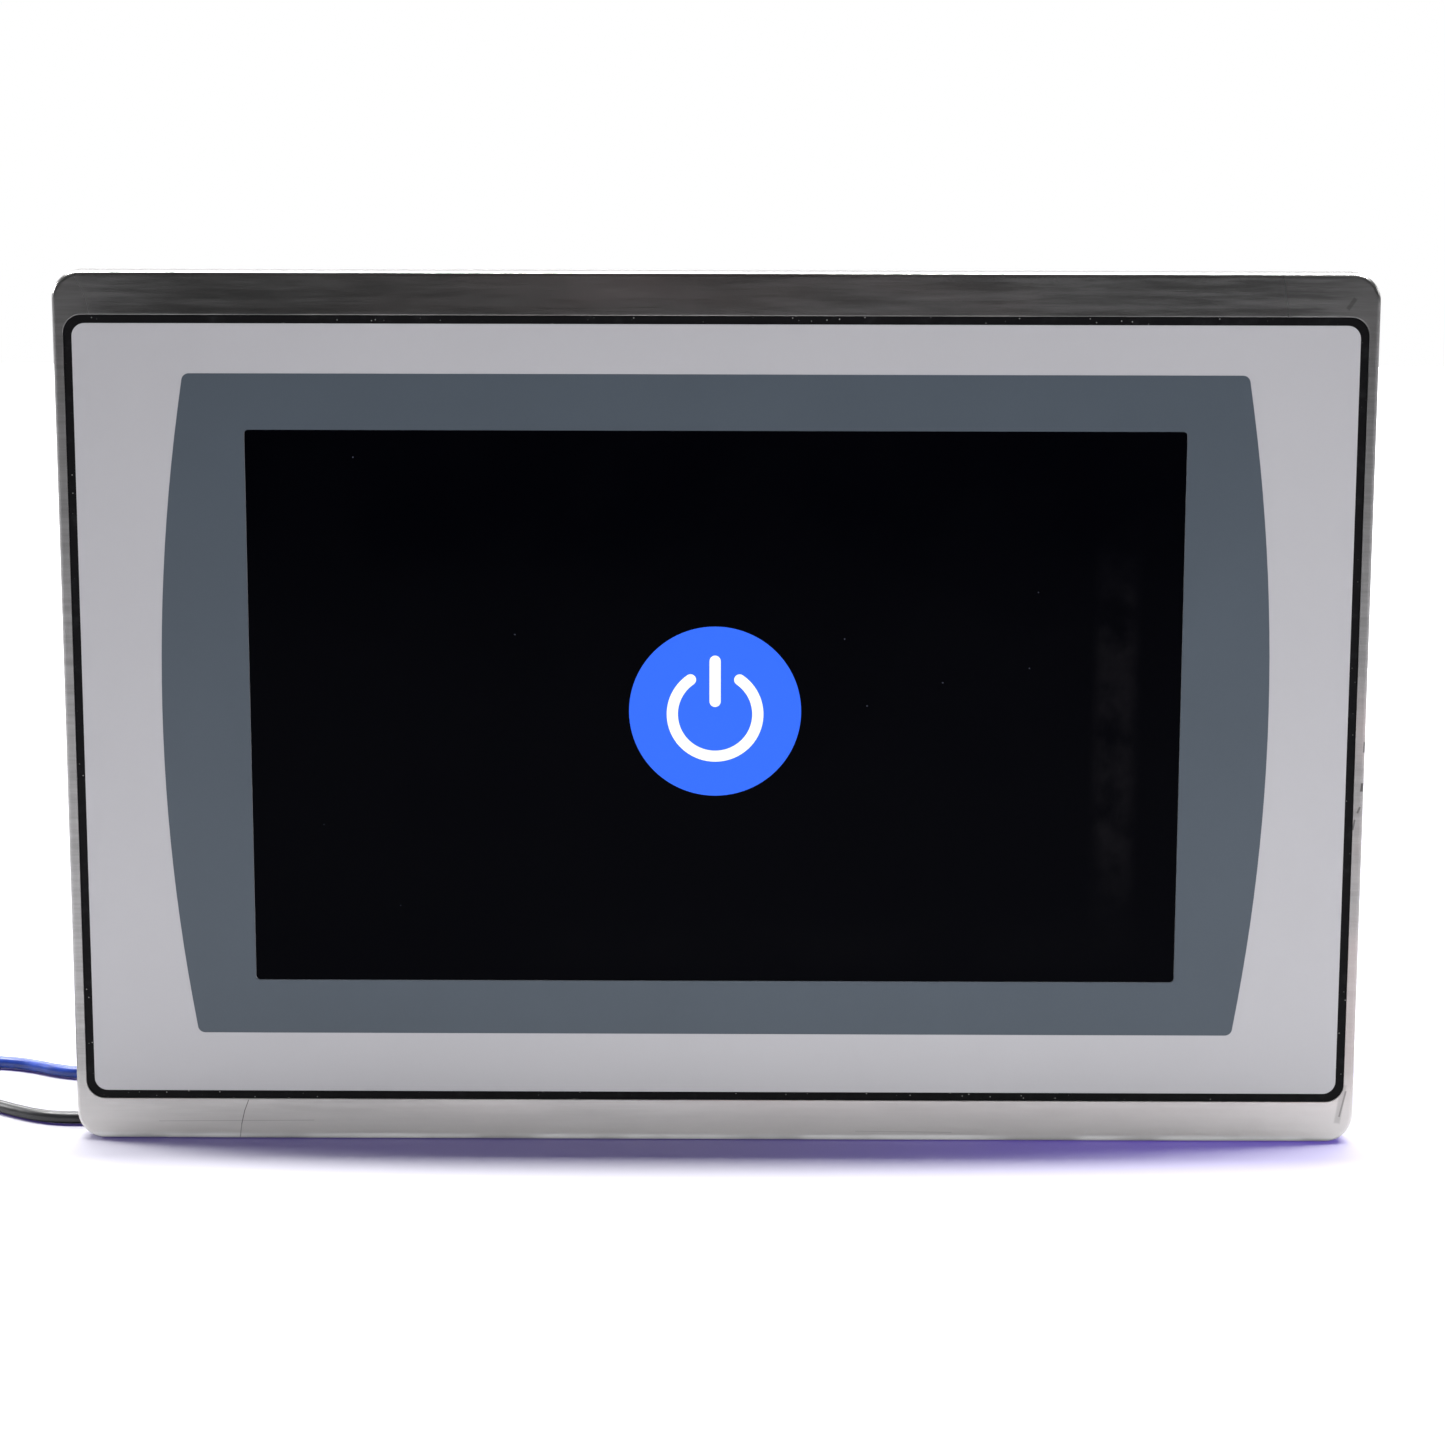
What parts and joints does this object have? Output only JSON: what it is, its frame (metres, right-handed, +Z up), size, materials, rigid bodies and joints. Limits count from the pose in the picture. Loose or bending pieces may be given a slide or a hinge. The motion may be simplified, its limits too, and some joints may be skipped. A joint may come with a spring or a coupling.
{
  "type": "hmi touch panel",
  "caption": "Panel-mount touch-screen operator terminal with a steel bezel, cast rear housing, mounting levers, pluggable power terminal and two supply leads.",
  "frame": {"origin": "on the floor, under the centre of the terminal's own box without its two leads", "axes": "+X to the right as seen from the front, +Y to the back, +Z up; the screen faces -Y"},
  "size_m": [0.3602, 0.126, 0.19],
  "materials": {
    "stainless_bezel": "brushed stainless, grain along X",
    "black_seal": "matte silicone",
    "grey_film": "fine matte polyester film",
    "slate_print": "fine matte printed film",
    "screen_glass": "dark polished",
    "screen_light": "lit screen graphic",
    "lcd_black": "polarised",
    "zinc_sheet": "zinc-coated sheet",
    "white_plastic": "moulded",
    "gasket_foam": "closed-cell foam",
    "screw_steel": "zinc plated",
    "screw_black": "black oxide",
    "board_green": "solder mask",
    "brass": "plated",
    "chip_black": "moulded epoxy",
    "bare_aluminium": "extruded",
    "capacitor_sleeve": "shrink sleeve",
    "socket_shell": "tinned",
    "card_plastic": "moulded",
    "door_plastic": "fine texture",
    "terminal_green": "moulded polyamide",
    "button_red": "moulded",
    "lamp_green": "clear moulded",
    "cast_housing": "textured powder coat",
    "cast_cover": "textured powder coat",
    "lever_zinc": "nickel-plated casting",
    "flex_amber": "polyimide",
    "harness_red": "PVC",
    "blank_label": "satin foil",
    "wire_blue": "PVC",
    "wire_black": "PVC",
    "ferrule_blue": "moulded collar on a tinned barrel",
    "ferrule_black": "moulded collar on a tinned barrel"
  },
  "bodies": {
    "terminal": {"front_bezel": "stainless_bezel", "window_seal": "black_seal", "front_film": "grey_film", "touch_glass": "screen_glass", "lcd_frame": "zinc_sheet", "lcd_cell": "lcd_black", "backlight": "white_plastic", "panel_gasket": "gasket_foam", "display_bracket": "zinc_sheet", "display_screws": "screw_steel", "main_board": "board_green", "board_standoffs": "brass", "board_screws": "screw_steel", "processor": "chip_black", "heat_sink": "bare_aluminium", "memory_chips": "chip_black", "power_capacitors": "capacitor_sleeve", "power_inductors": "chip_black", "battery_holder": "white_plastic", "coin_cell": "socket_shell", "ethernet_jacks": "socket_shell", "usb_host_port": "socket_shell", "usb_device_port": "socket_shell", "card_slot": "socket_shell", "card_door_pin": "screw_steel", "power_board": "board_green", "power_header": "terminal_green", "header_pins": "brass", "reset_switch": "chip_black", "status_lamps": "lamp_green", "rear_housing": "cast_housing", "rear_cover": "cast_cover", "cover_screws": "screw_steel", "bezel_screws": "screw_steel", "lever_screws": "screw_black", "touch_flex": "flex_amber", "display_cable": "flex_amber", "power_harness": "harness_red", "rating_plate": "blank_label"},
    "plug": {"power_plug": "terminal_green", "blue_lead": "wire_blue", "blue_coil": "wire_blue", "blue_ferrule": "ferrule_blue", "black_lead": "wire_black", "black_coil": "wire_black", "black_ferrule": "ferrule_black"},
    "clamp_screw_1": {"terminal_screw_1": "screw_steel"},
    "clamp_screw_2": {"terminal_screw_2": "screw_steel"},
    "clamp_screw_3": {"terminal_screw_3": "screw_steel"},
    "card": {"memory_card": "card_plastic"},
    "door": {"card_door": "door_plastic"},
    "reset": {"reset_button": "button_red"},
    "earth": {"earth_screw": "brass"},
    "top_left_lever": {"lever_top_left": "lever_zinc"},
    "top_right_lever": {"lever_top_right": "lever_zinc"},
    "bottom_left_lever": {"lever_bottom_left": "lever_zinc"},
    "bottom_right_lever": {"lever_bottom_right": "lever_zinc"},
    "left_lever": {"lever_left": "lever_zinc"},
    "right_lever": {"lever_right": "lever_zinc"}
  },
  "joints": [
    {"name": "plug_pull", "type": "slide", "parent": "terminal", "child": "plug", "axis": [0, 1, 0], "range_m": [0, 0.008]},
    {"name": "clamp_screw_1_turn", "type": "hinge", "parent": "plug", "child": "clamp_screw_1", "pos_m": [-0.07508, 0, 0.0405], "axis": [0, 1, 0], "continuous": true},
    {"name": "clamp_screw_2_turn", "type": "hinge", "parent": "plug", "child": "clamp_screw_2", "pos_m": [-0.07, 0, 0.0405], "axis": [0, 1, 0], "continuous": true},
    {"name": "clamp_screw_3_turn", "type": "hinge", "parent": "plug", "child": "clamp_screw_3", "pos_m": [-0.06492, 0, 0.0405], "axis": [0, 1, 0], "continuous": true},
    {"name": "card_slide", "type": "slide", "parent": "terminal", "child": "card", "axis": [1, 0, 0], "range_m": [-0.001, 0.003]},
    {"name": "door_swing", "type": "hinge", "parent": "terminal", "child": "door", "pos_m": [0.124, 0.0032, 0.14], "axis": [0, 0, 1], "range_deg": [0, 100]},
    {"name": "reset_press", "type": "slide", "parent": "terminal", "child": "reset", "axis": [0, -1, 0], "range_m": [0, 0.0005], "stiffness_N_per_m": 400},
    {"name": "earth_screw_turn", "type": "hinge", "parent": "terminal", "child": "earth", "pos_m": [-0.048, 0, 0.032], "axis": [0, 1, 0], "continuous": true},
    {"name": "top_left_lever_turn", "type": "hinge", "parent": "terminal", "child": "top_left_lever", "pos_m": [-0.107, -0.004, 0.175], "axis": [0, 0, -1], "range_deg": [0, 90]},
    {"name": "top_right_lever_turn", "type": "hinge", "parent": "terminal", "child": "top_right_lever", "pos_m": [0.107, -0.004, 0.175], "axis": [0, 0, 1], "range_deg": [0, 90]},
    {"name": "bottom_left_lever_turn", "type": "hinge", "parent": "terminal", "child": "bottom_left_lever", "pos_m": [-0.107, -0.004, 0.015], "axis": [0, 0, -1], "range_deg": [0, 90]},
    {"name": "bottom_right_lever_turn", "type": "hinge", "parent": "terminal", "child": "bottom_right_lever", "pos_m": [0.107, -0.004, 0.015], "axis": [0, 0, 1], "range_deg": [0, 90]},
    {"name": "left_lever_turn", "type": "hinge", "parent": "terminal", "child": "left_lever", "pos_m": [-0.125, -0.004, 0.095], "axis": [1, 0, 0], "range_deg": [0, 90]},
    {"name": "right_lever_turn", "type": "hinge", "parent": "terminal", "child": "right_lever", "pos_m": [0.125, -0.004, 0.095], "axis": [1, 0, 0], "range_deg": [0, 90]}
  ]
}
